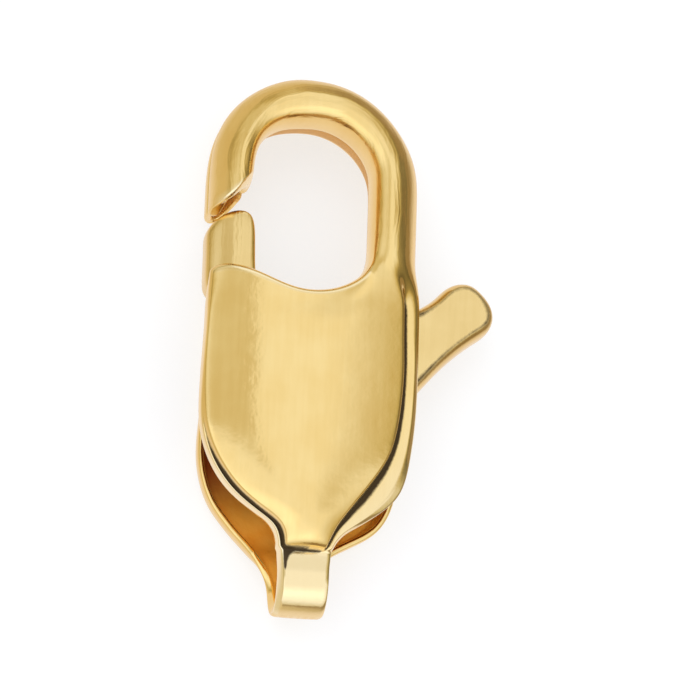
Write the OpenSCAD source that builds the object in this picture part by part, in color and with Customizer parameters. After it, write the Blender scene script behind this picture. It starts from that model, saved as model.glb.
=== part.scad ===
// Lobster clasp, folded from one stamped strip of sheet, lying on its back.
// +Y points to the hook, +X to the trigger and +Z out of the domed face.
// Lengths are in millimetres. Every module draws about the centre of the hook's arch,
// and seat() then moves the part so that its origin is at the middle of what it lies on.

/* [Sheet] */
// Thickness of the sheet
sheet_t = 0.28; // [0.2:0.01:0.32]

/* [Hook] */
// Width of the hook over its two bars
hook_w = 4.6; // [4.4:0.05:4.8]
// Width of the hook's hollow bar
bar_w = 1.05; // [0.9:0.01:1.15]
// Thickness of the hook, front to back
hook_t = 2.38; // [2.3:0.01:2.5]
// Drop of the tip's outer corner below the centre of the arch
tip_drop = 0.87; // [0.8:0.01:0.95]

/* [Body] */
// Width of the body
body_w = 4.7; // [4.6:0.05:4.9]
// Thickness of the body, front to back
body_t = 2.6; // [2.5:0.01:2.8]
// Length of the body, from its upper edge to the neck
body_l = 6.05; // [5.8:0.05:6.6]
// Length of the eye, from the top of its arch to the body's edge
eye_l = 3.98; // [3.9:0.01:4.1]
// Rise of the crown in the middle of the domed face
crown = 0.32; // [0.2:0.01:0.4]
// Height of the step round the face, down to the ledge on the trigger's side
step_h = 0.24; // [0.18:0.01:0.28]
// Depth of the front half's side wall on the tongue's side
wall_h = 0.83; // [0.6:0.01:0.9]
// Depth of the back half
back_h = 0.6; // [0.5:0.01:0.62]
// Depth of the lips that turn in round the eye's lower edge
lip_h = 0.42; // [0.3:0.01:0.5]

/* [End loop] */
// Angle at the loop's centre between the strip's two ends
strip_open = 40; // [30:1:50]
// Radius of the hole through the end loop
loop_r = 0.53; // [0.45:0.01:0.55]
// Width of the strip that makes the loop
strip_w = 1.15; // [1:0.01:1.3]

/* [Lever] */
// Thickness of the lever
lever_t = 1; // [0.8:0.01:1.05]
// Width of the tongue
tongue_w = 1.02; // [0.9:0.01:1.1]
// Gap between the tongue and the hook's tip
tongue_gap = 0.06; // [0.04:0.01:0.1]
// Pivot to the right of the arch's centre
pivot_x = 0.6; // [0.5:0.05:0.7]
// Pivot below the arch's centre
pivot_down = 3.9; // [3.8:0.05:4]
// Radius of the hub round the pivot
hub_r = 0.85; // [0.7:0.05:0.95]
// Radius of the paddle's round end
paddle_r = 0.62; // [0.5:0.01:0.7]
// Reach of the paddle's round end from the pivot, sideways to its centre
paddle_out = 2.83; // [2.6:0.01:3]
// Height of the paddle's round end over the pivot
paddle_up = 1.24; // [1.1:0.01:1.3]
// Clearance between the lever's inner end and the body's side wall
wall_gap = 0.06; // [0.04:0.01:0.1]

/* [Pivot pin] */
// Radius of the pin
pin_r = 0.4; // [0.3:0.01:0.45]
// Running clearance between the pin and the lever
pin_gap = 0.05; // [0.02:0.01:0.08]

/* [Hidden] */
$fn = 64;

gold = [0.86, 0.70, 0.36];
deep_gold = [0.80, 0.60, 0.25];

hook_r = hook_w / 2;
eye_r = hook_r - bar_w;
half_w = body_w / 2;
eye_bottom = eye_r - eye_l;
// Rise of the hook's slanted tip, from its outer corner to the middle of the bar
tip_rise = 0.23;
// Height of the body's shoulders over the bottom of the eye, and of the arched edge within them
shoulder_h = 0.5;
edge_sag = 0.42;
body_top = eye_bottom + shoulder_h;
// Length of the right bar inside the body
bar_seat = 0.3;
face_z = body_t - crown;
// Fall of the ledge from the step to its rim
rim_dip = 0.08;
ledge_z = face_z - step_h - rim_dip;
// Centre of the end loop, set so that the neck runs into it beside the strip's ends
loop_z = body_t * 0.44;
loop_out_r = loop_r + sheet_t;
neck_angle = 42;
neck_y = body_top - body_l;
loop_y = neck_y - loop_out_r * cos(neck_angle);
end_y = loop_y - loop_out_r;
lever_z = (back_h + ledge_z - sheet_t - lever_t) / 2;
// Depth of the tongue's outer corner under that of the hook's tip
tip_corner = 0.38;
// Heights over and under the pivot at which the trigger's arm leaves the body
arm_top = 1.28;
arm_heel = 0.82;
pivot_y = -pivot_down;
paddle_x = pivot_x + paddle_out;
paddle_y = pivot_y + paddle_up;
// Overlap of pieces that are one piece of sheet
weld = 0.02;
// Reach of a cut past what it cuts
past = 1;
seat_x = (paddle_x + paddle_r - half_w) / 2;
seat_y = (hook_r + end_y) / 2;

// Columns of the section tables. The first is the share of the body's length from its upper edge,
// the widths are shares of half the body's width, and HIGH is a share of the height over the loop.
DOWN = 0;
RIM_L = 1;
RIM_R = 2;
FACE_L = 3;
FACE_R = 4;
HIGH = 5;

// Rows drawn for each one given, and the drawn rows at the neck where the sheet is folded tight.
STEPS = 3;
FOLD_ROWS = 3;

// Heights of a half's section: crown over the face's edge, the face's edge itself, the wall on the
// tongue's side, and the step and the ledge's rim on the trigger's side, down from the face's edge.
RISE = 0;
EDGE = 1;
WALL = 2;
STEP = 3;
LEDGE = 4;
// Share of the wall that its upper edge is chamfered, and of the ledge that the step slopes over.
CHAMFER = 0.25;
STEP_RUN = 0.2;
front_shape = [crown, face_z, wall_h, step_h, step_h + rim_dip];
back_shape = [0, 2 * loop_z, back_h, 0.4 * back_h, back_h - sheet_t];

// The front half. Its face stands close to the rim on the tongue's side, and leaves a ledge on the
// trigger's side that is widest at the lower corner.
front_rows = [
    [0.00, 0.99, 0.99, 0.96, 0.79, 1.00],
    [0.32, 1.00, 1.00, 0.97, 0.84, 1.00],
    [0.52, 1.00, 1.00, 0.97, 0.81, 1.00],
    [0.64, 0.95, 0.96, 0.91, 0.75, 1.00],
    [0.74, 0.83, 0.91, 0.78, 0.60, 1.00],
    [0.81, 0.68, 0.82, 0.63, 0.47, 1.00],
    [0.87, 0.49, 0.65, 0.44, 0.36, 1.00],
    [0.93, 0.31, 0.42, 0.27, 0.26, 0.98],
    [1.00, 0.26, 0.28, 0.21, 0.20, 0.62]
];

// The back half, which is narrower on the tongue's side, fuller at its lower corners, and flat
// where the clasp lies.
back_rows = [
    [0.00, 0.94, 0.99, 0.87, 0.92, 1.00],
    [0.32, 0.93, 1.00, 0.86, 0.93, 1.00],
    [0.52, 0.94, 1.00, 0.87, 0.93, 1.00],
    [0.64, 0.94, 0.98, 0.87, 0.90, 1.00],
    [0.74, 0.91, 0.94, 0.83, 0.85, 1.00],
    [0.81, 0.83, 0.88, 0.74, 0.77, 1.00],
    [0.87, 0.71, 0.78, 0.61, 0.66, 1.00],
    [0.93, 0.53, 0.57, 0.44, 0.46, 1.00],
    [1.00, 0.31, 0.30, 0.24, 0.23, 0.58]
];

// Value of a column between two rows, on a smooth curve through the neighbouring rows.
function between(rows, i, f, col) =
    let (n = len(rows) - 1,
         a = rows[max(i - 1, 0)][col], b = rows[i][col],
         c = rows[min(i + 1, n)][col], d = rows[min(i + 2, n)][col])
    b + f * ((c - a) / 2 + f * (a - 2.5 * b + 2 * c - d / 2 + f * (1.5 * (b - c) + (d - a) / 2)));

// The same table with steps rows for each one given. No share goes over 1.
function refined(rows, steps) = [
    for (i = [0 : len(rows) - 2], k = [0 : steps - 1])
        [for (col = [DOWN : HIGH]) min(1, between(rows, i, k / steps, col))],
    rows[len(rows) - 1]
];

// Face of one section between two edges, from left to right, as [x, height].
function arched(l, r, edge, rise) = [
    for (k = [-4 : 4])
        let (s = k / 4) [(l + r) / 2 + (r - l) / 2 * s, edge + rise * (1 - s * s)]
];

// Outer skin of one section, from the left rim over the face to the right rim.
function skin(row, shape) =
    let (high = row[HIGH],
         top = loop_z + (shape[EDGE] - loop_z) * high,
         l = -half_w * row[FACE_L], r = half_w * row[FACE_R],
         rim_l = -half_w * row[RIM_L], rim_r = half_w * row[RIM_R])
    concat(
        [[rim_l, top - shape[WALL] * high], [rim_l, top - CHAMFER * shape[WALL] * high]],
        arched(l, r, top, shape[RISE] * high),
        [[r + STEP_RUN * (rim_r - r), top - shape[STEP] * high], [rim_r, top - shape[LEDGE] * high]]
    );

// Inner skin of the same section, back from the right rim to the left one.
function lining(row, shape) =
    let (high = row[HIGH],
         top = loop_z + (shape[EDGE] - loop_z) * high,
         l = -half_w * row[FACE_L], r = half_w * row[FACE_R],
         rim_l = -half_w * row[RIM_L], rim_r = half_w * row[RIM_R],
         face = arched(l + 0.7 * sheet_t, r - 0.8 * sheet_t, top - sheet_t, shape[RISE] * high))
    concat(
        [[rim_r, top - shape[LEDGE] * high - sheet_t],
         [min(r, rim_r - 0.9 * sheet_t), top - shape[STEP] * high - sheet_t]],
        [for (k = [len(face) - 1 : -1 : 0]) face[k]],
        [[rim_l + sheet_t, top - max(sheet_t + 0.02, CHAMFER * shape[WALL] * high)],
         [rim_l + sheet_t, top - shape[WALL] * high]]
    );

// A section standing across the body.
function across(row, section) = [for (p = section) [p[0], body_top - row[DOWN] * body_l, p[1]]];

// A solid through rings of equal length. Each end is closed by strips across the ring, because a
// ring round thin sheet is hollow on one side.
module loft(rings) {
    n = len(rings[0]);
    last = (len(rings) - 1) * n;
    strips = [for (k = [0 : n / 2 - 2]) each [[k, k + 1, n - 1 - k], [k + 1, n - 2 - k, n - 1 - k]]];
    polyhedron(
        points = [for (r = rings) each r],
        faces = concat(
            [for (f = strips) [f[2], f[1], f[0]]],
            [for (f = strips) [for (k = f) last + k]],
            [for (j = [0 : n : last - n], k = [0 : n - 1]) let (q = (k + 1) % n)
                each [[j + k, j + q, j + n + k], [j + q, j + n + q, j + n + k]]]
        ),
        convexity = 6
    );
}

// Section of one row: open sheet, or solid down to a line between the rims.
function section(row, shape, open) =
    let (outer = skin(row, shape), inner = lining(row, shape),
         n = len(inner) - 1, a = inner[0], b = inner[n])
    concat(outer, open ? inner : [for (k = [0 : n]) a + (b - a) * k / n]);

// Half of the body as formed sheet, its face up, folded solid at the neck.
module half_shell(table, shape) {
    rows = refined(table, STEPS);
    n = len(rows);
    loft([for (i = [0 : n - 1]) across(rows[i], section(rows[i], shape, i < n - FOLD_ROWS))]);
}

// The space that the eye and the tongue's mouth take out of the body's upper end, seen from the front.
module mouth(grow) {
    arc_r = (eye_r * eye_r + edge_sag * edge_sag) / (2 * edge_sag);
    corner_h = shoulder_h + weld;
    intersection() {
        translate([-hook_w, eye_bottom - past]) square([hook_w + eye_r + sheet_t / 2, eye_l]);
        difference() {
            union() {
                translate([0, eye_bottom + arc_r]) circle(arc_r + grow);
                translate([-hook_w, eye_bottom + edge_sag]) square([2 * hook_w, eye_l]);
            }
            translate([-half_w, eye_bottom]) square([half_w - eye_r - grow, corner_h]);
        }
    }
}

// Section of the hook's bar, from its inner wall outwards, as shares of the bar's width and thickness.
bar_rows = [
    [0.00, 0.16], [0.00, 0.84], [0.10, 0.94], [0.38, 1.00], [0.68, 0.94], [0.92, 0.80],
    [1.00, 0.66], [1.00, 0.26], [0.93, 0.12], [0.72, 0.01], [0.28, 0.01], [0.07, 0.06]
];

function left_of(a, b) = let (d = (b - a) / norm(b - a)) [-d[1], d[0]];

// A closed outline, given clockwise, moved inwards by t.
function inset(path, t) =
    let (n = len(path))
    [for (i = [0 : n - 1])
        let (a = path[(i + n - 1) % n], b = path[i], c = path[(i + 1) % n],
             m = left_of(a, b), k = left_of(b, c))
        b - t * (m + k) / (1 + m * k)];

module bar_section() {
    outer = [for (p = bar_rows) [eye_r + bar_w * p[0], hook_t * p[1]]];
    difference() {
        polygon(outer);
        polygon(inset(outer, sheet_t));
    }
}

// The hollow hook: its arch, its left bar down to the tip and its right bar down to the body.
module hook() {
    rotate_extrude(angle = 180) bar_section();
    rotate([90, 0, 0]) linear_extrude(bar_seat - body_top) bar_section();
    difference() {
        rotate([90, 0, 0]) linear_extrude(tip_drop) mirror([1, 0]) bar_section();
        translate([0, 0, -past]) linear_extrude(body_t + 2 * past) polygon([
            [-hook_r - weld, -tip_drop], [-hook_r + 0.5 * bar_w, -tip_drop + tip_rise],
            [-eye_r + weld, -weld], [0, -weld], [0, -eye_l], [-hook_r - weld, -eye_l]
        ]);
    }
}

// The end loop, bent from the strip, with its round hole along X.
module end_loop() {
    translate([0, loop_y, loop_z]) rotate([0, 90, 0]) rotate([0, 0, 90 + strip_open / 2])
        rotate_extrude(angle = 360 - strip_open) translate([loop_r, -strip_w / 2])
            square([sheet_t, strip_w]);
}

// Lip along the eye's lower edge, between two heights, a little proud of the plate's cut edge.
module lip(low, high) {
    reach = 0.95 * eye_r;
    translate([0, 0, low]) linear_extrude(high - low) intersection() {
        difference() {
            mouth(sheet_t);
            mouth(-weld);
        }
        translate([-reach, eye_bottom - past]) square([2 * reach, eye_l]);
    }
}

module body_at_arch() {
    difference() {
        union() {
            half_shell(front_rows, front_shape);
            translate([0, 0, 2 * loop_z]) mirror([0, 0, 1]) half_shell(back_rows, back_shape);
        }
        translate([0, 0, -past]) linear_extrude(body_t + 2 * past) mouth(0);
        // Notch that lets the tongue out past the front half's side wall
        translate([-body_w, eye_bottom, back_h])
            cube([body_w - eye_r, eye_l, ledge_z - sheet_t - back_h]);
    }
    lip(face_z - lip_h, face_z - weld);
    lip(sheet_t - weld, lip_h);
    hook();
    end_loop();
}

// Outline of the tongue's tip, as shares of the tongue's width and of the tip's height.
tip_rows = [
    [0.00, 0.00], [0.27, 0.56], [0.49, 0.89], [0.61, 1.00], [0.77, 1.00], [0.91, 0.87], [1.00, 0.51]
];

// Outline of the tongue and of the lever's inner end, round the pivot.
module tongue_outline() {
    left = -hook_r;
    inside = -half_w + sheet_t + wall_gap;
    low = -tip_drop - tip_corner;
    high = -tip_drop + tip_rise - weld - tongue_gap;
    polygon(concat(
        [for (p = tip_rows) [left + tongue_w * p[0], low + (high - low) * p[1]]],
        [[left + tongue_w, eye_bottom + 0.5 * hub_r], [-eye_r + 0.25 * hub_r, eye_bottom - 0.1 * hub_r],
         [pivot_x, pivot_y + 0.8 * hub_r], [pivot_x + 0.3 * hub_r, pivot_y],
         [pivot_x - 0.2 * hub_r, pivot_y - 0.8 * hub_r],
         [inside + 0.9 * hub_r, pivot_y - 0.1 * hub_r], [inside + 0.1 * hub_r, pivot_y + 0.8 * hub_r],
         [inside, eye_bottom + weld], [left, eye_bottom + weld + half_w + left + sheet_t]]
    ));
}

// Outline of the trigger's arm, from the pivot to the paddle's round end.
module arm_outline() {
    neck_x = half_w + 0.1 * paddle_r;
    polygon([
        [pivot_x - 0.3 * hub_r, pivot_y], [pivot_x, pivot_y + 0.7 * hub_r],
        [half_w - 0.6 * hub_r, pivot_y + arm_top - 0.15], [neck_x, pivot_y + arm_top],
        [neck_x + 0.35 * paddle_r, pivot_y + arm_top + 0.15 * paddle_r],
        [neck_x + 0.65 * paddle_r, pivot_y + arm_top + 0.45 * paddle_r],
        [paddle_x - 0.68 * paddle_r, paddle_y + 0.70 * paddle_r], [paddle_x, paddle_y],
        [paddle_x + 0.71 * paddle_r, paddle_y - 0.67 * paddle_r],
        [half_w, pivot_y - arm_heel], [half_w - 0.4 * hub_r, pivot_y - arm_heel - 0.15],
        [pivot_x, pivot_y - 0.7 * hub_r]
    ]);
}

module lever_at_arch() {
    translate([0, 0, lever_z]) difference() {
        union() {
            translate([pivot_x, pivot_y, 0]) cylinder(r = hub_r, h = lever_t);
            linear_extrude(lever_t) tongue_outline();
            linear_extrude(lever_t) arm_outline();
            translate([paddle_x, paddle_y, 0]) cylinder(r = paddle_r, h = lever_t);
        }
        translate([pivot_x, pivot_y, -past]) cylinder(r = pin_r + pin_gap, h = lever_t + 2 * past);
    }
}

module seat() translate([-seat_x, -seat_y, 0]) children();

module body() color(gold) seat() body_at_arch();

module lever() color(gold) seat() lever_at_arch();

// The pin stands on the inside of the back half and stops just short of the front one.
module pivot_pin() {
    color(deep_gold) seat() translate([pivot_x, pivot_y, sheet_t])
        cylinder(r = pin_r, h = face_z - 2 * sheet_t);
}

body();
lever();
pivot_pin();
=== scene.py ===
# Looks of a small lobster clasp that is folded from gold-coloured sheet and lies on its back.
# Outlines are given in millimetres about the centre of the hook's arch, +Y to the hook, +Z out
# of the domed face, and are moved to the model's own frame once a piece is whole.
import math

import bmesh
import bpy
from mathutils import Matrix, Vector


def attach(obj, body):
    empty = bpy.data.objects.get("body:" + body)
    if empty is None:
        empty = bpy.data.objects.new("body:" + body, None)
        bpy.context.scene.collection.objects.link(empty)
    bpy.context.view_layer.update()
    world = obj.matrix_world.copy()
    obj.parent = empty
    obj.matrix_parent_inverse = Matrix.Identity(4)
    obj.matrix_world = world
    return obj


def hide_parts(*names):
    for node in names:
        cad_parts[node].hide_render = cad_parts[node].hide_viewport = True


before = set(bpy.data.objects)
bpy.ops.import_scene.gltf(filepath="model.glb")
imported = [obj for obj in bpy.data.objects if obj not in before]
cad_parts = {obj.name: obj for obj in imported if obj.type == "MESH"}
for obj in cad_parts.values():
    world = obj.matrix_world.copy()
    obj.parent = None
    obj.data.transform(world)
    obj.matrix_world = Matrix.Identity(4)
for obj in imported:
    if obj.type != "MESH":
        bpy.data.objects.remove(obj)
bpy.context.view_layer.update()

# The folded body
# One stamped strip of sheet: a domed front half and a flatter back half, joined round the end
# loop, each with a hollow half of the hook's bar. It is pressed, folded, tumbled and plated, so
# its edges are soft and its flats keep faint polishing streaks.

# Centre of the hook's arch in the model's own frame.
ARCH_X, ARCH_Y = -0.85, 3.696
# Thickness of the sheet, and the share of it that the back half has.
SHEET = 0.27
BACK_SHARE = 0.6
# Radius of the eye's arch, and where the hook's right bar ends, along the clasp.
EYE_R = 1.25
BAR_FOOT_Y = -1.7
# Where the back half of the hook's tip is cut square, along the clasp.
BACK_TIP_Y = -0.78
# Height of the lip's free edge along the eye, and of the back half's face beside the eye.
LIP_LOW = 1.86
BACK_EDGE_Z = 2.26
# Centre of the end loop, the radius of its outer side, and half the width of its strip.
LOOP_Y, LOOP_Z, LOOP_R = -8.882, 1.144, 0.81
STRIP_HALF = 0.575
# How many columns the painted shade in the fold over the neck reaches, on each of the strip's first rows.
NECK_FOLD_SHADE_REACH = (14, 4.5, 2.2, 1.2)

# The sheet's section over the hook's bar: how far each column is from the eye's wall, and its height.
FRONT_BAR = ((-0.03, 1.20), (-0.05, 1.50), (-0.05, 1.84), (0.0, 2.11), (0.13, 2.28), (0.33, 2.36),
             (0.56, 2.29), (0.80, 2.07), (0.98, 1.76), (1.05, 1.45), (1.05, 1.165))
BACK_BAR = ((0.07, 1.20), (0.08, 1.46), (0.10, 1.74), (0.17, 1.98), (0.31, 2.15), (0.47, 2.25),
            (0.65, 2.262), (0.86, 2.16), (1.0, 1.87), (1.05, 1.5), (1.05, 1.165))

# The eye's lower edge from its right corner to the tongue, and the face's height beside it.
EYE_EDGE = (
    (1.13, -1.98), (0.99, -2.23), (0.75, -2.44), (0.39, -2.62), (0.0, -2.71),
    (-0.45, -2.70), (-0.90, -2.54), (-1.30, -2.36), (-1.72, -2.23), (-2.08, -2.22), (-2.33, -2.34),
)
FRONT_EDGE_Z = (2.19, 2.31, 2.41, 2.49, 2.55, 2.57, 2.54, 2.49, 2.41, 2.33, 2.23)

# Places of the face's columns between its two edges.
FACE_S = (-1.0, -0.90, -0.72, -0.50, -0.28, -0.06, 0.16, 0.36, 0.54, 0.68, 0.80, 0.90, 1.0)

# Rows down the halves: y, left rim, face's left and right edge, right rim, height of the face's
# edges, rise of the crown, depth of the left wall, height of the ledge's edge, and how deep the
# groove beside the face's left edge is.
FRONT_ROWS = (
    (-3.60, -2.370, -2.31, 1.93, 2.350, 2.28, 0.32, 0.64, 1.95, 0.0),
    (-4.30, -2.400, -2.34, 1.97, 2.350, 2.28, 0.32, 0.62, 1.95, 0.0),
    (-5.00, -2.420, -2.35, 1.93, 2.345, 2.28, 0.32, 0.60, 1.95, 0.1),
    (-5.60, -2.410, -2.32, 1.86, 2.310, 2.28, 0.32, 0.56, 1.95, 0.3),
    (-6.10, -2.300, -2.19, 1.75, 2.250, 2.28, 0.315, 0.50, 1.95, 0.55),
    (-6.50, -2.120, -1.99, 1.55, 2.190, 2.28, 0.31, 0.45, 1.95, 0.8),
    (-6.85, -1.890, -1.75, 1.31, 2.100, 2.28, 0.30, 0.42, 1.95, 1.0),
    (-7.15, -1.630, -1.48, 1.09, 1.930, 2.28, 0.29, 0.40, 1.95, 1.0),
    (-7.40, -1.320, -1.17, 0.90, 1.650, 2.28, 0.27, 0.40, 1.95, 1.0),
    (-7.60, -1.020, -0.87, 0.76, 1.380, 2.275, 0.25, 0.40, 1.945, 1.0),
    (-7.77, -0.770, -0.62, 0.64, 1.120, 2.265, 0.22, 0.40, 1.94, 1.0),
    (-7.93, -0.660, -0.51, 0.56, 0.860, 2.25, 0.19, 0.40, 1.93, 1.0),
    (-8.09, -0.610, -0.46, 0.49, 0.720, 2.22, 0.16, 0.40, 1.915, 1.0),
    (-8.21, -0.590, -0.44, 0.44, 0.650, 2.18, 0.13, 0.40, 1.90, 1.0),
    (-8.29, -0.585, -0.43, 0.42, 0.620, 2.10, 0.09, 0.40, 1.89, 1.0),
)
BACK_ROWS = (
    (-3.60, -2.150, -1.99, 2.18, 2.350, 2.278, 0.0, 0.60, 1.678, 0.0),
    (-4.30, -2.150, -1.99, 2.18, 2.350, 2.278, 0.0, 0.60, 1.678, 0.0),
    (-5.00, -2.170, -2.01, 2.18, 2.350, 2.278, 0.0, 0.60, 1.678, 0.0),
    (-5.60, -2.225, -2.06, 2.18, 2.345, 2.278, 0.0, 0.60, 1.678, 0.0),
    (-6.10, -2.230, -2.06, 2.13, 2.310, 2.278, 0.0, 0.60, 1.678, 0.0),
    (-6.50, -2.170, -1.98, 2.03, 2.250, 2.278, 0.0, 0.60, 1.678, 0.0),
    (-6.85, -2.070, -1.87, 1.93, 2.170, 2.278, 0.0, 0.60, 1.678, 0.0),
    (-7.15, -1.940, -1.73, 1.82, 2.080, 2.278, 0.0, 0.60, 1.678, 0.0),
    (-7.40, -1.770, -1.56, 1.68, 1.950, 2.278, 0.0, 0.60, 1.678, 0.0),
    (-7.60, -1.600, -1.38, 1.48, 1.790, 2.278, 0.0, 0.60, 1.678, 0.0),
    (-7.77, -1.460, -1.22, 1.25, 1.560, 2.27, 0.0, 0.60, 1.67, 0.0),
    (-7.93, -1.310, -1.08, 1.00, 1.270, 2.25, 0.0, 0.60, 1.65, 0.0),
    (-8.09, -1.160, -0.94, 0.77, 0.980, 2.20, 0.0, 0.59, 1.61, 0.0),
    (-8.21, -1.060, -0.85, 0.62, 0.790, 2.14, 0.0, 0.56, 1.58, 0.0),
    (-8.30, -0.990, -0.78, 0.55, 0.680, 2.06, 0.0, 0.52, 1.54, 0.0),
)

# Width of the hook's bar, and the height at which its two halves meet.
BAR_W, SEAM_Z = FRONT_BAR[-1]
# Columns of the body's rows: the top of the left wall, the face's two edges, the fold beside the
# right one, and the ledge's rim.
WALL_TOP, FACE_LEFT, FACE_RIGHT, FOLD, RIM = 3, 4, 16, 17, 20
FACE_MIDDLE = (FACE_LEFT + FACE_RIGHT) // 2
# Columns that run up from the lip along the eye's lower edge, and those of the tip's filed facet.
OVER_LIP = range(3, 12)
FACET = range(3, 8)
# How dark the painted shade is in the seam between the hook's halves, and on the line on the left where
# the neck folds.
SEAM_SHADE = 0.46
NECK_CREASE_SHADE = 0.4
# Columns that are rubbed pale, as wear and as a painted highlight, where the groove is deepest, and
# columns that stay crisp, each with its share.
WORN_AND_SHEEN = ((0, 1.0), (1, 1.0), (2, 0.9), (18, 0.3), (19, 0.35))
CRISP = ((FACE_RIGHT, 0.9), (FOLD, 0.9), (19, 0.85), (RIM, 0.5))


def marked_mesh():
    """An empty mesh, with marks for the painted shade in its creases, its pale marks of wear and painted
    highlight, and its crisp edges.
    """
    mesh = bmesh.new()
    painted_crease_shade = mesh.verts.layers.float.new("painted_crease_shade")
    wear_and_sheen = mesh.verts.layers.float.new("wear_and_sheen")
    crisp = mesh.edges.layers.float.new("crease_edge")
    return mesh, painted_crease_shade, wear_and_sheen, crisp


def pulled(mesh, chain, places):
    """Pulls a new row of sheet out of a chain of corners, and puts its corners in these places."""
    edges = [mesh.edges.get(pair) for pair in zip(chain, chain[1:])]
    fresh = bmesh.ops.extrude_edge_only(mesh, edges=edges)["geom"]
    corners = [v for v in fresh if isinstance(v, bmesh.types.BMVert)]
    row = [min(corners, key=lambda v: (v.co - old.co).length) for old in chain]
    # A new row takes over the marks of the old one, so they are cleared.
    for v, place in zip(row, places):
        v.co = place
        for mark in mesh.verts.layers.float.values():
            v[mark] = 0.0
    for pair in zip(row, row[1:]):
        for mark in mesh.edges.layers.float.values():
            mesh.edges.get(pair)[mark] = 0.0
    return row


def eased(t):
    """Share of the way from 0 to 1, with a soft start and a soft end."""
    t = min(max(t, 0.0), 1.0)
    return t * t * (3 - 2 * t)


def across(row, front):
    """Places of the body's twenty-two columns over one row, from the left wall to the right rim."""
    y, rim_l, face_l, face_r, rim_r, top, rise, wall, ledge, dip = row
    # The left wall where no groove is pressed in, and where the groove is deepest.
    plain = [(0.0, top - wall), (0.0, top - 0.62 * wall), (0.02, top - 0.24 * wall), (0.4, top - 0.04)]
    grooved = [(-0.3, ledge - 0.42), (-0.1, ledge - 0.17), (0.14, ledge + 0.06), (0.70, ledge - 0.04)]
    left = [(rim_l + (a + (c - a) * dip) * (face_l - rim_l), b + (d - b) * dip)
            for (a, b), (c, d) in zip(plain, grooved)]
    middle, half = (face_l + face_r) / 2, (face_r - face_l) / 2
    face = [(middle + half * s, top + rise * (1 - s * s)) for s in FACE_S]
    band = rim_r - face_r
    if front:
        right = [(face_r + 0.04 + 0.05 * band, ledge + 0.04), (face_r + 0.42 * band, ledge + 0.065),
                 (face_r + 0.75 * band, ledge + 0.07), (rim_r - 0.01, ledge - 0.04),
                 (rim_r + 0.005, ledge - 0.12)]
    else:
        right = [(face_r + 0.55 * band, top - 0.05), (face_r + 0.9 * band, top - 0.16),
                 (rim_r, top - 0.30), (rim_r, top - 0.45), (rim_r, ledge)]
    return [Vector((x, y, z)) for x, z in left + face + right]


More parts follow.
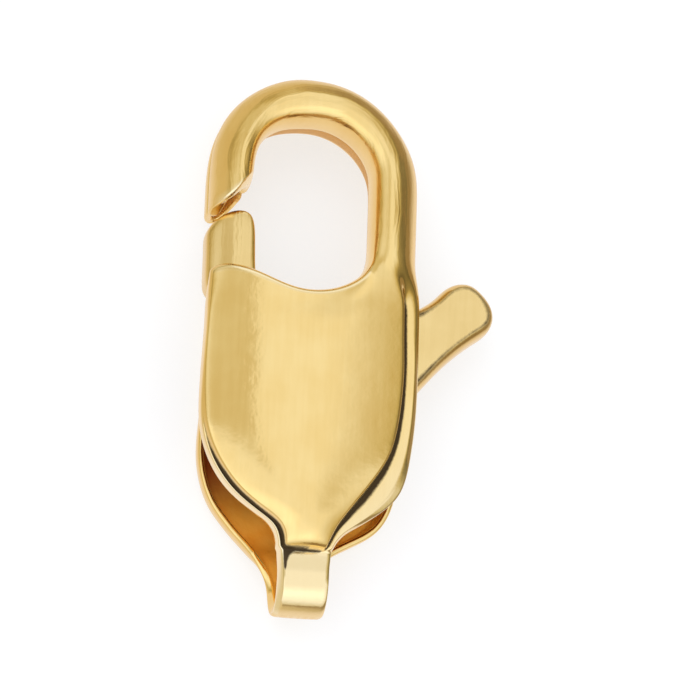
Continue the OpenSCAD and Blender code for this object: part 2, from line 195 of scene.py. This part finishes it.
def formed_half(front):
    """One half of the body, domed or flat, its face up, with its half of the hook. Gives its end row."""
    bar = FRONT_BAR if front else BACK_BAR
    rows = FRONT_ROWS if front else BACK_ROWS
    already = len(mesh.verts)

    # The hook: from its slanted and chamfered tip, round the arch, and down its right bar.
    def tip_y(u):
        if u < 0.14:
            slant = -0.10 - 1.0 * u
        elif u < 0.525:
            slant = -0.24 - 1.06 * (u - 0.14)
        else:
            slant = -0.65 - 0.42 * (u - 0.525)
        return slant if front else max(slant, BACK_TIP_Y)

    def filed_off(u, z):
        chamfer = 0.06 + 0.26 * max(1 - u / 0.9, 0)
        return Vector((0, chamfer, 1.2 * chamfer * eased((z - 1.2) / 0.6)))

    def left_bar(y_of):
        return [Vector((-EYE_R - u, y_of(u), z)) for u, z in bar]

    def right_bar(y):
        return [Vector((EYE_R + u, y, z)) for u, z in bar]

    chain = [mesh.verts.new(p - filed_off(u, z)) for p, (u, z) in zip(left_bar(tip_y), bar)]
    for a, b in zip(chain, chain[1:]):
        mesh.edges.new((a, b))
    for share in (1.0, 0.8, 0.5, 0.0):
        before = chain
        chain = pulled(mesh, chain, left_bar(lambda u: share * tip_y(u)))
        # The tip's filed facet gets crisp edges and is painted pale, as wear and as a painted highlight.
        if share == 1.0 and front:
            for k in FACET:
                mesh.edges.get((chain[k], chain[k + 1]))[crisp] = 0.7
                chain[k][wear_and_sheen] = before[k][wear_and_sheen] = 0.7
    edges = [mesh.edges.get(pair) for pair in zip(chain, chain[1:])]
    arch = bmesh.ops.spin(mesh, geom=edges, cent=(0, 0, 0), axis=(0, 0, 1), angle=-math.pi, steps=16)
    ends = [v for v in arch["geom_last"] if isinstance(v, bmesh.types.BMVert)]
    chain = [min(ends, key=lambda v: (v.co - p).length) for p in right_bar(0)]
    for y in (-0.6, -1.15, BAR_FOOT_Y):
        chain = pulled(mesh, chain, right_bar(y))

    # The bar thins towards the tip, the arch leans a little to the left, and the seam gets painted shade.
    for v in list(mesh.verts)[already:]:
        if v.co.x < 0:
            radius = math.hypot(v.co.x, max(v.co.y, 0))
            inner = 1 - (radius - EYE_R) / BAR_W
            thin = eased((-v.co.x / radius - 0.1) / 0.85) * (1 + 0.25 * max(-v.co.y, 0))
            stretch = 1 + (0.22 * inner * thin + 0.04 * (1 - inner)) / radius
            v.co.x *= stretch
            v.co.y *= stretch if v.co.y > 0 else 1
        v.co.x -= 0.11 * eased(v.co.y / 1.7)
        if abs(v.co.z - bar[0][1]) < 0.001:
            v[painted_crease_shade] = SEAM_SHADE

    # The lip that turns in along the eye's lower edge, from the right bar round to the tongue.
    strip = chain[:4]
    edge_row = []
    for i, (x, y) in enumerate(EYE_EDGE):
        if not front:
            x = max(x, -2.12 + 0.02 * (i - 10))
        corner_before = Vector(EYE_EDGE[i - 1] if i else (EYE_R, BAR_FOOT_Y))
        corner_after = Vector(EYE_EDGE[min(i + 1, len(EYE_EDGE) - 1)])
        along = (corner_after - corner_before).normalized()
        out = Vector((-along.y, along.x))
        if out.y > 0:
            out = -out
        top = FRONT_EDGE_Z[i] if front else BACK_EDGE_Z
        low = SEAM_Z + (LIP_LOW - SEAM_Z) * eased((i + 1) / 3)
        if front and x < -1:
            low = LIP_LOW + 0.1 * eased((-1 - x) / 0.6)
        strip = pulled(mesh, strip, [
            Vector((x, y, low)), Vector((x, y, low + 0.45 * (top - low))),
            Vector((x + 0.01 * out.x, y + 0.01 * out.y, top - 0.11)),
            Vector((x + 0.10 * out.x, y + 0.10 * out.y, top)),
        ])
        edge_row.append(strip[3])
    chain = strip[:3] + edge_row[::-1] + chain[3:]
    # The lip's rolled rim is painted pale, as wear and as a painted highlight.
    for v in edge_row:
        v[wear_and_sheen] = 0.7

    # The body's face, from the eye's edge to the first straight row.
    start, flat = [v.co.copy() for v in chain], across(rows[0], front)
    before = chain
    for t in (0.09, 0.22, 0.42, 0.68, 1.0):
        places = []
        for k, (a, b) in enumerate(zip(start, flat)):
            turn = eased(1.15 * t) if k in OVER_LIP else eased(t / 0.55)
            x, z = a.x + (b.x - a.x) * turn, a.z + (b.z - a.z) * turn
            places.append(Vector((x, a.y + (b.y - a.y) * t, z)))
        chain = pulled(mesh, chain, places)
        if front:
            # Painted shade in the fold beside the face's right edge.
            chain[FOLD][painted_crease_shade] = eased((t - 0.3) / 0.4)
            for k in (FACE_RIGHT, FOLD):
                mesh.edges.get((before[k], chain[k]))[crisp] = 0.9 * eased((t - 0.3) / 0.5)
        before = chain

    # The foot of the right bar runs smoothly into the face.
    foot = [v for v in list(mesh.verts)[already:] if 1.1 < v.co.x < 1.75 and -2.7 < v.co.y < -1.5
            and all(e.other_vert(v).co.z > 2.0 for e in v.link_edges)]
    for _ in range(4):
        bmesh.ops.smooth_vert(
            mesh, verts=foot, factor=0.5, use_axis_x=False, use_axis_y=False, use_axis_z=True)

    # The straight rows, which narrow to the neck, with the face standing proud of its ledge.
    for row in rows[1:]:
        chain = pulled(mesh, chain, across(row, front))
        if front:
            dip = row[-1]
            # Painted shade in the fold and in the left groove; the rubbed columns and the rim are painted
            # pale, as wear and as a painted highlight.
            chain[FOLD][painted_crease_shade], chain[WALL_TOP][painted_crease_shade] = 1.0, dip
            for k, share in WORN_AND_SHEEN:
                chain[k][wear_and_sheen] = share * dip
            for v in chain[RIM:]:
                v[wear_and_sheen] = 0.55 + 0.35 * dip
            for k, share in CRISP + ((WALL_TOP, 0.8 * dip), (FACE_LEFT, 0.8 * dip)):
                mesh.edges.get((before[k], chain[k]))[crisp] = share
        before = chain
    if front:
        for pair in zip(chain[FACE_LEFT:FACE_RIGHT], chain[FACE_LEFT + 1:FOLD]):
            mesh.edges.get(pair)[crisp] = 0.7
        # Painted shade along the crease where the neck folds, over the face's left half.
        for v in chain[FACE_LEFT:FACE_MIDDLE + 1]:
            v[painted_crease_shade] = NECK_CREASE_SHADE

    # The strip that rolls over the end loop to where it meets the other half.
    if front:
        run = [(-8.335, 1.875), (-8.43, 1.885), (-8.56, 1.905), (-8.71, 1.93)]
    else:
        run = [(-8.40, 2.02), (-8.52, 1.99), (-8.65, 1.97), (-8.77, 1.955)]
    run += [(LOOP_Y + LOOP_R * math.cos(a), LOOP_Z + LOOP_R * math.sin(a))
            for a in map(math.radians, (90, 105, 120, 135, 150, 165, 180))]
    neck_top = rows[-1][5]
    start = [(v.co.x, neck_top - v.co.z) for v in chain]
    for i, (y, z) in enumerate(run):
        past_neck = -8.3 - y
        fade = eased(past_neck / 0.5) if front else 1 - max(1 - past_neck / 0.85, 0) ** 2
        inward = Vector((0, max(LOOP_Y - y, 0), LOOP_Z - z)).normalized()
        places = []
        for k, (x, depth) in enumerate(start):
            s = k / (len(start) - 1) * 2 - 1
            sunk = 0.05 * max(abs(s) - 0.86, 0) / 0.14 + 0.015 * s * s
            if front:
                x = s * (STRIP_HALF + (0.03 if s < 0 else 0.04) * (1 - fade))
                sunk += 0.26 * max(1 - k / 2.5, 0) * (1 - eased((i - 5) / 5))
                if k < WALL_TOP:
                    sunk += (depth - (neck_top - run[0][1]) - sunk) * max(0.7 - 0.2 * i, 0)
            else:
                x, sunk = x + (STRIP_HALF * s - x) * fade, depth + (sunk - depth) * fade
            places.append(Vector((x, y, z)) + sunk * inward)
        chain = pulled(mesh, chain, places)
        if front:
            # The strip is painted pale, as wear and as a painted highlight, and painted shade fills the
            # fold over the neck.
            for k, v in enumerate(chain):
                v[wear_and_sheen] = 1.0 if k < WALL_TOP else 0.5
            mesh.edges.get((before[WALL_TOP], chain[WALL_TOP]))[crisp] = 0.5
            if i < len(NECK_FOLD_SHADE_REACH):
                for k, v in enumerate(chain[WALL_TOP:FOLD]):
                    v[painted_crease_shade] = max(1 - k / NECK_FOLD_SHADE_REACH[i], 0.7 if i == 0 else 0)
            if i == 0:
                for pair in zip(chain[WALL_TOP:FACE_RIGHT], chain[FACE_LEFT:FOLD]):
                    mesh.edges.get(pair)[crisp] = 0.8
        before = chain

    # The buffing wheel doesn't reach the back half's wall inside the eye.
    def in_the_eye(v):
        radius = math.hypot(v.co.x, max(v.co.y, 0))
        return v.co.z < bar[2][1] + 0.001 and v.co.y > BAR_FOOT_Y - 0.01 and radius < EYE_R + 0.55

    if not front:
        for face in mesh.faces:
            if all(in_the_eye(v) for v in face.verts):
                face.material_index = 1
    return chain


def placed(mesh):
    """Moves a whole mesh from millimetres about the arch to the model's frame in metres."""
    bmesh.ops.translate(mesh, verts=mesh.verts, vec=(ARCH_X, ARCH_Y, 0))
    bmesh.ops.scale(mesh, verts=mesh.verts, vec=(0.001, 0.001, 0.001))


def piece_of(mesh, name):
    """A finished mesh as a smooth-shaded piece of the scene."""
    data = bpy.data.meshes.new(name)
    mesh.to_mesh(data)
    mesh.free()
    for face in data.polygons:
        face.use_smooth = True
    piece = bpy.data.objects.new(name, data)
    bpy.context.scene.collection.objects.link(piece)
    return piece


def soften(piece):
    """Rounds a piece's edges, less so where they are marked crisp."""
    rounding = piece.modifiers.new("soft_edges", "SUBSURF")
    rounding.levels = rounding.render_levels = 2


mesh, painted_crease_shade, wear_and_sheen, crisp = marked_mesh()
gauge = mesh.verts.layers.deform.verify()
back_end = formed_half(False)
# The back half is turned over, and its sheet thickens to the full gauge round the end loop.
bmesh.ops.scale(mesh, verts=mesh.verts, vec=(1, 1, -1), space=Matrix.Translation((0, 0, -LOOP_Z)))
for v in mesh.verts:
    v[gauge][0] = BACK_SHARE + (1 - BACK_SHARE) * eased((-8.6 - v.co.y) / 0.9)
front_end = formed_half(True)
for v in mesh.verts:
    if 0 not in v[gauge]:
        v[gauge][0] = 1.0
bmesh.ops.remove_doubles(mesh, verts=back_end + front_end, dist=0.02)
bmesh.ops.recalc_face_normals(mesh, faces=mesh.faces)
crown = max(mesh.faces, key=lambda f: f.calc_center_median().z)
if crown.normal.z < 0:
    bmesh.ops.reverse_faces(mesh, faces=mesh.faces)
placed(mesh)
body = piece_of(mesh, "folded_body")
body.vertex_groups.new(name="sheet_thickness")
thickness = body.modifiers.new("sheet", "SOLIDIFY")
thickness.thickness = SHEET / 1000
thickness.offset = -1
thickness.use_even_offset = True
thickness.thickness_clamp = 0.0
thickness.edge_crease_rim = 0.55
thickness.vertex_group = "sheet_thickness"
thickness.material_offset = 1
soften(body)


class Wire:
    """A value, colour or vector on its way through a finish's nodes, written as a sum."""

    def __init__(self, node, output=0):
        self.tree = node.id_data
        self.socket = node.outputs[output] if node.outputs else None

    def node(self, kind, settings=None, sockets=None, output=0):
        """A new node, with its settings set first and then the values or links of its sockets."""
        fresh = self.tree.nodes.new(kind)
        for name, value in (settings or {}).items():
            setattr(fresh, name, value)
        for name, value in (sockets or {}).items():
            if isinstance(value, Wire):
                self.tree.links.new(value.socket, fresh.inputs[name])
            else:
                fresh.inputs[name].default_value = value
        return Wire(fresh, output)

    def maths(self, operation, a, b):
        return self.node("ShaderNodeMath", {"operation": operation}, {0: a, 1: b})

    def __add__(self, other):
        return self.maths("ADD", self, other)

    def __mul__(self, other):
        return self.maths("MULTIPLY", self, other)

    def __sub__(self, other):
        return self.maths("SUBTRACT", self, other)

    def __rsub__(self, other):
        return self.maths("SUBTRACT", other, self)

    __radd__, __rmul__ = __add__, __mul__

    def between(self, low, high):
        """This value's share of the way from low to high, kept within 0 and 1."""
        return self.node("ShaderNodeMapRange", {"interpolation_type": "SMOOTHSTEP"},
                         {"Value": self, "From Min": low, "From Max": high})

    def blend(self, a, b):
        """Colour a where this value is 0, and b where it is 1."""
        a, b = (colour if isinstance(colour, Wire) else (*colour, 1) for colour in (a, b))
        return self.node("ShaderNodeMix", {"data_type": "RGBA"}, {0: self, 6: a, 7: b}, output=2)

    def part(self, axis):
        """One of this vector's three numbers."""
        return self.node("ShaderNodeSeparateXYZ", None, {"Vector": self}, output=axis)

    def length(self):
        return self.node("ShaderNodeVectorMath", {"operation": "LENGTH"}, {0: self}, output="Value")

    def noise(self, scale, detail, roughness=0.5):
        """Soft noise over the space that this vector gives."""
        return self.node("ShaderNodeTexNoise", None, {
            "Vector": self, "Scale": scale, "Detail": detail, "Roughness": roughness})

    def bump(self, strength, distance):
        """This value as the height of a relief."""
        return self.node("ShaderNodeBump", None, {
            "Strength": strength, "Distance": distance, "Height": self})


def socket_name(word):
    """A shader socket's own name, from a plain word such as specular_ior_level."""
    return word.replace("_", " ").title().replace("Ior", "IOR")


def finish(name, **constants):
    """A new material, its shader with these constants, and its place on the piece in millimetres."""
    material = bpy.data.materials.new(name)
    material.use_nodes = True
    nodes = material.node_tree.nodes
    shader = nodes["Principled BSDF"]
    for socket, value in constants.items():
        shader.inputs[socket_name(socket)].default_value = value
    place = Wire(nodes.new("ShaderNodeTexCoord"), "Object")
    place = place.node("ShaderNodeMapping", None, {"Vector": place, "Scale": (1000, 1000, 1000)})
    return material, shader, place


def into(shader, **wires):
    """Leads wires into the shader's sockets."""
    for socket, wire in wires.items():
        shader.id_data.links.new(wire.socket, shader.inputs[socket_name(socket)])


# Plate that is rubbed pale on its edges, as wear and as a painted highlight, and painted shade in its
# folds.
PALE_WEAR_AND_SHEEN = (1.0, 0.92, 0.70)
CREASE_SHADE_COLOUR = (0.04, 0.022, 0.008)


def gold(name, light, deep, streak_turn=0.0, streak_depth=0.12):
    """Gold plate: faint streaks along the buffing, soft strokes round the arch, painted shade in its
    folds.
    """
    material, shader, place = finish(name, specular_ior_level=0.08)
    along = place.node("ShaderNodeMapping", None, {
        "Vector": place, "Rotation": (0, 0, streak_turn), "Scale": (9.0, 0.55, 2.0)})
    streaks = along.noise(1.0, 4.0, roughness=0.6)
    clouds = place.noise(1.1, 3.0)
    grain = place.noise(14.0, 2.0)
    crease_shade_mask = place.node("ShaderNodeAttribute", {"attribute_name": "painted_crease_shade"}, output="Fac")
    rubbed_and_sheen = place.node("ShaderNodeAttribute", {"attribute_name": "wear_and_sheen"}, output="Fac")

    # The hook is tumbled more than it is buffed, so its strokes run round the arch.
    tumbled = place.part("Y").between(1.0, 3.0)
    from_arch = place.node("ShaderNodeMapping", None, {
        "Vector": place, "Location": (-ARCH_X, -ARCH_Y, 0), "Scale": (1, 1, 0)})
    from_arch = from_arch.node(
        "ShaderNodeVectorMath", {"operation": "MAXIMUM"}, {0: from_arch, 1: (-10, 0, 0)})
    strokes = place.node("ShaderNodeTexNoise", {"noise_dimensions": "1D"}, {
        "W": from_arch.length() + clouds * 0.35, "Scale": 7.0, "Detail": 3.0}) * tumbled

    tone = clouds.between(0.3, 0.7) * 0.7 + streaks.between(0.35, 0.65) * 0.3
    colour = tone.blend(deep, light)
    # Pale where rubbed, as wear and as a painted highlight.
    colour = (rubbed_and_sheen * 0.9).blend(colour, PALE_WEAR_AND_SHEEN)
    # Painted shade darkens the folds, and dulls the metal there.
    crease_shade_mask = (crease_shade_mask + ((grain - 0.5) * 0.35 + (clouds - 0.5) * 0.9) * crease_shade_mask).between(0.28, 0.62)
    colour = (crease_shade_mask * 0.97).blend(colour, CREASE_SHADE_COLOUR)
    uneven = clouds.between(0.3, 0.7) * 0.05 + streaks.between(0.3, 0.7) * 0.03
    relief = streaks * streak_depth + grain * 0.2 + clouds * 2.2 + strokes * 2.3
    into(shader,
         base_color=colour,
         metallic=1 - crease_shade_mask,
         roughness=0.08 + uneven + crease_shade_mask * 0.3 + tumbled * 0.10,
         normal=relief.bump(0.3, 0.00002))
    return material


# The inside is left raw: orange by the neck, with painted shade deep in the body, duller inside the eye,
# and brighter at the hook's tip as painted light.
material, shader, place = finish("unpolished_inside", metallic=0.55)
mottle = place.noise(2.2, 4.0)
side, along = place.part("X"), place.part("Y")
colour = mottle.between(0.3, 0.7).blend((0.97, 0.48, 0.05), (1.0, 0.56, 0.08))
# Painted shade deeper in the body, away from the neck.
colour = along.between(-3.9, -2.6).blend(colour, (0.45, 0.12, 0.015))
colour = along.between(0.5, 2.0).blend(colour, (0.76, 0.43, 0.12))
# Painted light at the hook's tip.
painted_light_at_tip = along.between(1.5, 2.5) * side.between(-1.8, -2.1)
into(shader,
     base_color=painted_light_at_tip.blend(colour, (1.0, 0.66, 0.20)),
     roughness=0.42 + mottle * 0.15,
     normal=place.noise(9.0, 3.0).bump(0.4, 0.00002))
body.data.materials.append(gold("polished_gold_plate", (0.91, 0.70, 0.32), (0.86, 0.63, 0.255)))
body.data.materials.append(material)
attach(body, "body")
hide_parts("body")

# The lever
# One stamped lever turns on the hidden pin: its tongue closes the hook, and its paddle stands out
# on the right as the trigger. Its edges are tumbled round, and it is plated as the body is.

# Heights of the lever's two flat sides, and the middle of the hole for its pin.
LEVER_LOW, LEVER_HIGH = 0.64, 1.64
PIVOT = (0.6, -3.9)
# How far the paddle's upper edges are filed back, and how far the other edges are rounded.
FILED_BACK = 0.18
ROUNDED_BACK = 0.12
# The first of the rows whose upper edges are filed.
PADDLE_ROW = 11
# Places across the blank, from its left or lower edge to its right or upper one, along its length.
LEVER_ROWS = (
    ((-2.36, -1.25), (-2.08, -0.95), (-1.78, -0.82), (-1.50, -0.80), (-1.30, -0.98)),
    ((-2.34, -1.55), (-2.07, -1.48), (-1.80, -1.45), (-1.54, -1.47), (-1.27, -1.52)),
    ((-2.34, -2.00), (-2.07, -2.00), (-1.80, -2.00), (-1.53, -2.00), (-1.26, -2.00)),
    ((-2.34, -2.40), (-2.06, -2.42), (-1.78, -2.43), (-1.50, -2.42), (-1.22, -2.38)),
    ((-2.31, -2.62), (-2.00, -2.70), (-1.70, -2.74), (-1.38, -2.74), (-1.06, -2.66)),
    ((-2.03, -2.85), (-1.74, -2.93), (-1.44, -2.98), (-1.12, -2.98), (-0.78, -2.90)),
    ((-1.90, -3.35), (-1.50, -3.40), (-1.10, -3.40), (-0.72, -3.28), (-0.35, -3.08)),
    ((-1.30, -4.00), (-0.90, -3.92), (-0.50, -3.80), (-0.20, -3.52), (0.05, -3.12)),
    ((-0.25, -4.45), (0.235, -4.265), (0.085, -3.90), (0.235, -3.535), (0.35, -3.08)),
    ((0.45, -4.72), (0.60, -4.415), (0.60, -3.90), (0.60, -3.385), (0.70, -3.05)),
    ((1.10, -4.84), (0.965, -4.265), (1.115, -3.90), (0.965, -3.535), (1.20, -3.00)),
    ((1.62, -4.93), (1.60, -4.45), (1.58, -3.90), (1.60, -3.40), (1.70, -2.92)),
    ((2.05, -4.95), (2.06, -4.43), (2.08, -3.86), (2.09, -3.32), (2.12, -2.84)),
    ((2.44, -4.62), (2.45, -4.12), (2.47, -3.56), (2.50, -3.06), (2.52, -2.62)),
    ((2.76, -4.22), (2.76, -3.76), (2.77, -3.28), (2.78, -2.84), (2.79, -2.41)),
    ((3.14, -3.80), (3.09, -3.40), (3.04, -2.98), (3.00, -2.58), (2.97, -2.19)),
    ((3.59, -3.40), (3.49, -3.07), (3.39, -2.73), (3.28, -2.39), (3.17, -2.06)),
    ((3.88, -3.20), (3.80, -2.92), (3.68, -2.64), (3.55, -2.33), (3.41, -2.01)),
    ((4.05, -3.05), (4.13, -2.81), (4.09, -2.55), (3.92, -2.30), (3.64, -2.05)),
)

mesh, painted_crease_shade, _, crisp = marked_mesh()
chain = [mesh.verts.new((x, y, LEVER_LOW)) for x, y in LEVER_ROWS[0]]
for a, b in zip(chain, chain[1:]):
    mesh.edges.new((a, b))
for row in LEVER_ROWS[1:]:
    chain = pulled(mesh, chain, [Vector((x, y, LEVER_LOW)) for x, y in row])
# The corner over the pivot comes out, which leaves the hole for the pin.
over_pivot = min(mesh.verts, key=lambda v: (v.co - Vector((*PIVOT, LEVER_LOW))).length)
bmesh.ops.delete(mesh, geom=[over_pivot], context="VERTS")
lifted = bmesh.ops.extrude_face_region(mesh, geom=mesh.faces[:])["geom"]
bmesh.ops.translate(mesh, verts=[v for v in lifted if isinstance(v, bmesh.types.BMVert)],
                    vec=(0, 0, LEVER_HIGH - LEVER_LOW))
bmesh.ops.recalc_face_normals(mesh, faces=mesh.faces)


def square_edges():
    """The edges where a flat side of the lever meets its rim."""
    return [e for e in mesh.edges if len(e.link_faces) == 2
            and {round(abs(f.normal.z), 1) for f in e.link_faces} == {0, 1}]


def bevelled(edges, offset, segments):
    return bmesh.ops.bevel(mesh, geom=edges, affect="EDGES", offset=offset, segments=segments,
                           profile=0.5, material=-1)["faces"]


# The paddle's upper edges are filed to a flat, with painted shade in the line where the flat meets the
# face.
paddle_rim = {(round(x, 3), round(y, 3)) for row in LEVER_ROWS[PADDLE_ROW:]
              for x, y in (row if row is LEVER_ROWS[-1] else (row[0], row[-1]))}
rim = [e for e in square_edges() if all(
    v.co.z > 1 and (round(v.co.x, 3), round(v.co.y, 3)) in paddle_rim for v in e.verts)]
flats = {f for f in bevelled(rim, FILED_BACK, 1) if 0.3 < f.normal.z < 0.95}
for face in flats:
    for e in face.edges:
        if any(f not in flats and f.normal.z > 0.95 for f in e.link_faces):
            e[crisp] = 0.8
            for v in e.verts:
                v[painted_crease_shade] = 0.5
bevelled(square_edges(), ROUNDED_BACK, 2)

# The tongue's outer side falls away.
for v in mesh.verts:
    if v.co.z > 1 and v.co.y > -2.7:
        v.co.z -= 0.26 * min(max((-1.6 - v.co.x) / 0.75, 0), 1) ** 2
placed(mesh)
lever = piece_of(mesh, "trigger_lever")
soften(lever)
lever.data.materials.append(gold(
    "lever_gold_plate", (0.86, 0.66, 0.31), (0.78, 0.58, 0.25), streak_turn=-0.7, streak_depth=0.8))
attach(lever, "lever")
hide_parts("lever")

# The pivot pin
# A short drawn pin stands inside the body and carries the lever. It is left plain brass, with
# fine rings from being cut to length.

material, shader, place = finish("drawn_brass", metallic=1.0)
rings = place.node("ShaderNodeMapping", None, {"Vector": place, "Scale": (0.6, 0.6, 16.0)}).noise(1.0, 3.0)
dull = place.noise(3.0, 3.0)
into(shader,
     base_color=dull.between(0.35, 0.7).blend((0.74, 0.53, 0.22), (0.50, 0.33, 0.12)),
     roughness=0.28 + dull * 0.2,
     normal=rings.bump(0.4, 0.00001))
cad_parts["pivot_pin"].material_slots[0].material = material

# The studio
# A white table under a wide pale tent, with a large soft lamp at the upper left, and the camera
# nearly over the clasp, a little to the left of it and below it.

bpy.context.scene.view_settings.view_transform = "Standard"

# The camera sees a plain white table. In reflections it glows with painted light instead: pale close by,
# and further off golden, darker on the right as painted shade.
material = bpy.data.materials.new("white_table")
material.use_nodes = True
nodes = material.node_tree.nodes
nodes.clear()
place = Wire(nodes.new("ShaderNodeTexCoord"), "Object")
away = place.node("ShaderNodeMapping", None, {"Vector": place, "Scale": (1.0, 0.6, 1.0)}).length()
far = place.part("X").between(-0.002, 0.004).blend((0.82, 0.69, 0.44), (0.39, 0.29, 0.155))
cast = away.between(0.0038, 0.0065).blend((1.05, 0.93, 0.82), far)
seen = place.node("ShaderNodeAddShader", None, {
    0: place.node("ShaderNodeBsdfDiffuse", None, {"Color": (0.38, 0.385, 0.40, 1)}),
    1: place.node("ShaderNodeEmission", None, {"Strength": 0.65})})
mirrored = place.node("ShaderNodeEmission", None, {"Color": cast, "Strength": 0.9})
both = place.node("ShaderNodeMixShader", None, {
    0: Wire(nodes.new("ShaderNodeLightPath"), "Is Glossy Ray"), 1: seen, 2: mirrored})
place.node("ShaderNodeOutputMaterial", None, {"Surface": both})
mesh = bmesh.new()
bmesh.ops.create_grid(mesh, x_segments=1, y_segments=1, size=0.6)
table = piece_of(mesh, "table")
table.data.materials.append(material)

# The tent is brighter overhead, beyond both ends of the clasp and on the left, with dark cards on
# either side that the metal mirrors as its shaded flanks.
world = bpy.data.worlds.new("tent")
bpy.context.scene.world = world
world.use_nodes = True
nodes = world.node_tree.nodes
nodes.clear()
toward = Wire(nodes.new("ShaderNodeTexCoord"), "Generated")
side, ahead, up = (toward.part(axis) for axis in "XYZ")
brightness = 0.42 + 0.36 * up.between(0.0, 0.4) + 0.26 * up.between(0.3, 0.8)
brightness = brightness + 0.36 * ahead.between(-0.3, -0.8) + 0.26 * ahead.between(0.55, 0.85)
brightness = brightness - 0.11 * ahead.between(0.3, 0.48)
brightness = brightness + 0.22 * side.between(-0.35, -0.7)
left_card = 0.25 * side.between(-0.145, -0.185) * ahead.between(-0.02, 0.14)
right_card = 0.30 * side.between(0.28, 0.66) * (1 - 0.5 * ahead.between(0.25, 0.6))
right_card = (right_card + 0.33 * side.between(0.6, 0.85)) * ahead.between(-0.2, 0.12)
brightness = brightness * (1 - left_card) * (1 - right_card)
tint = brightness.between(0.55, 1.0).blend((1.0, 0.85, 0.44), (1.0, 1.0, 0.99))
reflected = Wire(nodes.new("ShaderNodeLightPath"), "Is Glossy Ray")
light = side.node("ShaderNodeMix", {"data_type": "FLOAT"}, {0: reflected, 2: 1.0, 3: brightness})
colour = reflected.blend((1.0, 1.0, 1.0), tint)
glow = toward.node("ShaderNodeBackground", None, {"Color": colour, "Strength": light})
toward.node("ShaderNodeOutputWorld", None, {"Surface": glow})

lamp = bpy.data.lights.new("soft_lamp", "AREA")
lamp.size, lamp.energy = 0.22, 0.14
lamp_holder = bpy.data.objects.new("soft_lamp", lamp)
lamp_holder.location = (-0.12, 0.10, 0.27)
lamp_holder.rotation_mode = "QUATERNION"
lamp_holder.rotation_quaternion = Vector(lamp_holder.location).to_track_quat("Z", "Y")
lamp_holder.visible_glossy = False
bpy.context.scene.collection.objects.link(lamp_holder)

# The point that the camera looks at, its distance from it, and its turn about its own line of sight.
LOOKED_AT = Vector((0.0001, 0, 0.0012))
DISTANCE = 0.0765
ROLL = math.radians(2.0)
toward_camera = Vector((-0.17, -0.24, 0.95)).normalized()
camera = bpy.data.cameras.new("camera")
camera.lens = 180
camera.clip_start, camera.clip_end = 0.005, 2
camera_holder = bpy.data.objects.new("camera", camera)
upright = (Vector((0, 1, 0)) - toward_camera * toward_camera.y).normalized()
upright = Matrix.Rotation(ROLL, 3, toward_camera) @ upright
sideways = upright.cross(toward_camera)
turned = Matrix((sideways, upright, toward_camera)).transposed().to_4x4()
camera_holder.matrix_world = Matrix.Translation(LOOKED_AT + toward_camera * DISTANCE) @ turned
bpy.context.scene.collection.objects.link(camera_holder)
bpy.context.scene.camera = camera_holder
